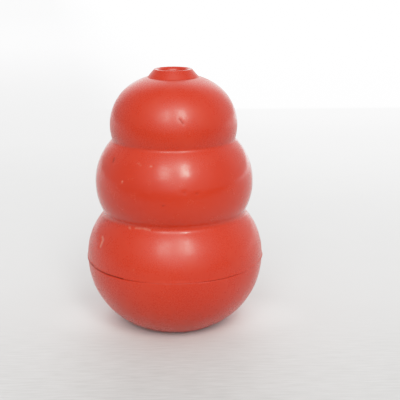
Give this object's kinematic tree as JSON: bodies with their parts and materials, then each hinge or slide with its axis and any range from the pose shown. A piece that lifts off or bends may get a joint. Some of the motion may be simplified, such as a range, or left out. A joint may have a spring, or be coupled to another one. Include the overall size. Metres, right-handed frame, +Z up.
{
  "type": "rubber chew toy",
  "caption": "Hollow rubber chew toy: round bulbs stacked from wide to narrow, with a stuffing mouth in the flat base and a raised vent collar on top.",
  "frame": {"origin": "centre of the flat base, on the surface that the toy stands on", "axes": "+Z up along the axis of revolution, from the stuffing mouth to the vent; -Y faces the picture's camera"},
  "size_m": [0.07, 0.07, 0.1013],
  "materials": {
    "rubber_body": "satin moulded natural rubber, red",
    "rubber_collar": "satin moulded natural rubber, red"
  },
  "bodies": {
    "root": {"lower_bowl": "rubber_body", "upper_shell": "rubber_body", "vent_collar": "rubber_collar"}
  },
  "joints": []
}
